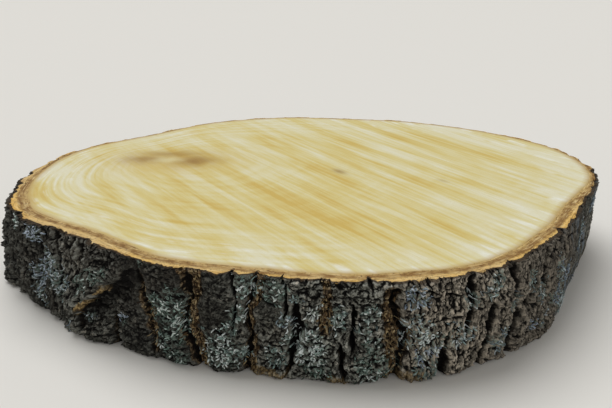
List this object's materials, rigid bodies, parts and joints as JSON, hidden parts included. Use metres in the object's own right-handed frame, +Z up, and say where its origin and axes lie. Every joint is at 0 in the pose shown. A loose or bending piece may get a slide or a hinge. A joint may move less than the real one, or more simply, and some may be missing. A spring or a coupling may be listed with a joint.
{
  "type": "wood slice",
  "caption": "Flat cross-cut slice of a tree stem with its bark on, used as a rustic board, stand or trivet.",
  "frame": {"origin": "middle of the underside, at the bottom centre of the slice's box", "axes": "+Z up out of the sawn top face, +X along the slice's long way across, -Y towards the side with the tallest show of bark"},
  "size_m": [0.3133, 0.2649, 0.044],
  "materials": {
    "sawn_wood": "dry sawn end grain with saw marks",
    "inner_bark": "fibrous cut inner bark, golden outside a brown line",
    "outer_bark": "rough furrowed bark, matt",
    "lichen": "dry leafy lichen, matt grey-green"
  },
  "bodies": {
    "root": {"wood_slice": "sawn_wood"}
  },
  "joints": []
}
